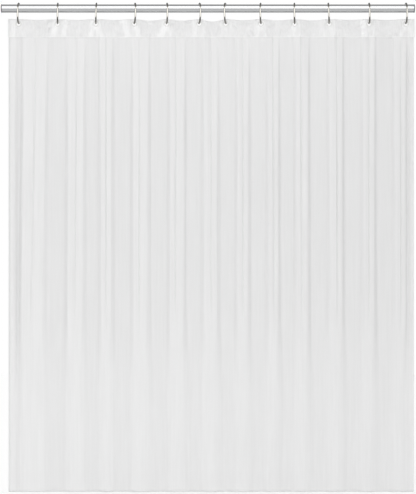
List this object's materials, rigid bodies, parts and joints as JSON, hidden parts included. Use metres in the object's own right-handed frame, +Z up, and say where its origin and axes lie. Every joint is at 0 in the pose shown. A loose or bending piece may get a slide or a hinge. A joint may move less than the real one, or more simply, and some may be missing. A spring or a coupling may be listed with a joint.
{
  "type": "shower curtain",
  "caption": "White frosted shower curtain with a welded header band, hung by eyelets on open wire hooks that slide along a chromed rod.",
  "frame": {"origin": "centre of the rod's left end face", "axes": "+X along the rod to its right end, +Y away from the person in front of the curtain, +Z up"},
  "size_m": [1.5981, 0.0782, 1.8922],
  "materials": {
    "chrome": "polished chrome plate on steel tube",
    "hook_chrome": "polished chrome plate on steel wire",
    "grey_rubber": "moulded, matt",
    "frosted_film": "frosted, slightly see-through plastic film",
    "header_film": "doubled frosted plastic film",
    "white_plastic": "moulded, smooth"
  },
  "bodies": {
    "rod": {"rod_tube": "chrome", "rod_end_foot_left": "grey_rubber", "rod_end_foot_right": "grey_rubber"},
    "curtain": {"curtain_sheet": "frosted_film", "header_band": "header_film"},
    "hook_01": {"hook_01": "hook_chrome", "eyelet_01": "white_plastic"},
    "hook_02": {"hook_02": "hook_chrome", "eyelet_02": "white_plastic"},
    "hook_03": {"hook_03": "hook_chrome", "eyelet_03": "white_plastic"},
    "hook_04": {"hook_04": "hook_chrome", "eyelet_04": "white_plastic"},
    "hook_05": {"hook_05": "hook_chrome", "eyelet_05": "white_plastic"},
    "hook_06": {"hook_06": "hook_chrome", "eyelet_06": "white_plastic"},
    "hook_07": {"hook_07": "hook_chrome", "eyelet_07": "white_plastic"},
    "hook_08": {"hook_08": "hook_chrome", "eyelet_08": "white_plastic"},
    "hook_09": {"hook_09": "hook_chrome", "eyelet_09": "white_plastic"},
    "hook_10": {"hook_10": "hook_chrome", "eyelet_10": "white_plastic"},
    "hook_11": {"hook_11": "hook_chrome", "eyelet_11": "white_plastic"},
    "hook_12": {"hook_12": "hook_chrome", "eyelet_12": "white_plastic"}
  },
  "joints": [
    {"name": "curtain_swing", "type": "hinge", "parent": "rod", "child": "curtain", "pos_m": [0, 0, 0], "axis": [1, 0, 0], "range_deg": [-20, 20]},
    {"name": "hook_01_slide", "type": "slide", "parent": "curtain", "child": "hook_01", "axis": [1, 0, 0], "range_m": [-0.03075, 0]},
    {"name": "hook_02_slide", "type": "slide", "parent": "curtain", "child": "hook_02", "axis": [1, 0, 0], "range_m": [-0.14391, 0]},
    {"name": "hook_03_slide", "type": "slide", "parent": "curtain", "child": "hook_03", "axis": [1, 0, 0], "range_m": [-0.25469, 0]},
    {"name": "hook_04_slide", "type": "slide", "parent": "curtain", "child": "hook_04", "axis": [1, 0, 0], "range_m": [-0.36641, 0]},
    {"name": "hook_05_slide", "type": "slide", "parent": "curtain", "child": "hook_05", "axis": [1, 0, 0], "range_m": [-0.46004, 0]},
    {"name": "hook_06_slide", "type": "slide", "parent": "curtain", "child": "hook_06", "axis": [1, 0, 0], "range_m": [-0.55437, 0]},
    {"name": "hook_07_slide", "type": "slide", "parent": "curtain", "child": "hook_07", "axis": [1, 0, 0], "range_m": [-0.63156, 0]},
    {"name": "hook_08_slide", "type": "slide", "parent": "curtain", "child": "hook_08", "axis": [1, 0, 0], "range_m": [-0.7334, 0]},
    {"name": "hook_09_slide", "type": "slide", "parent": "curtain", "child": "hook_09", "axis": [1, 0, 0], "range_m": [-0.83143, 0]},
    {"name": "hook_10_slide", "type": "slide", "parent": "curtain", "child": "hook_10", "axis": [1, 0, 0], "range_m": [-0.93113, 0]},
    {"name": "hook_11_slide", "type": "slide", "parent": "curtain", "child": "hook_11", "axis": [1, 0, 0], "range_m": [-1.04715, 0]},
    {"name": "hook_12_slide", "type": "slide", "parent": "curtain", "child": "hook_12", "axis": [1, 0, 0], "range_m": [-1.15387, 0], "deforming": ["curtain_sheet", "header_band"]}
  ],
  "couplings": [
    {"joint": "hook_01_slide", "follows": "hook_12_slide", "ratio": 0.026649},
    {"joint": "hook_02_slide", "follows": "hook_12_slide", "ratio": 0.12472},
    {"joint": "hook_03_slide", "follows": "hook_12_slide", "ratio": 0.22072},
    {"joint": "hook_04_slide", "follows": "hook_12_slide", "ratio": 0.31755},
    {"joint": "hook_05_slide", "follows": "hook_12_slide", "ratio": 0.39869},
    {"joint": "hook_06_slide", "follows": "hook_12_slide", "ratio": 0.48045},
    {"joint": "hook_07_slide", "follows": "hook_12_slide", "ratio": 0.54734},
    {"joint": "hook_08_slide", "follows": "hook_12_slide", "ratio": 0.6356},
    {"joint": "hook_09_slide", "follows": "hook_12_slide", "ratio": 0.72056},
    {"joint": "hook_10_slide", "follows": "hook_12_slide", "ratio": 0.80696},
    {"joint": "hook_11_slide", "follows": "hook_12_slide", "ratio": 0.90751}
  ]
}
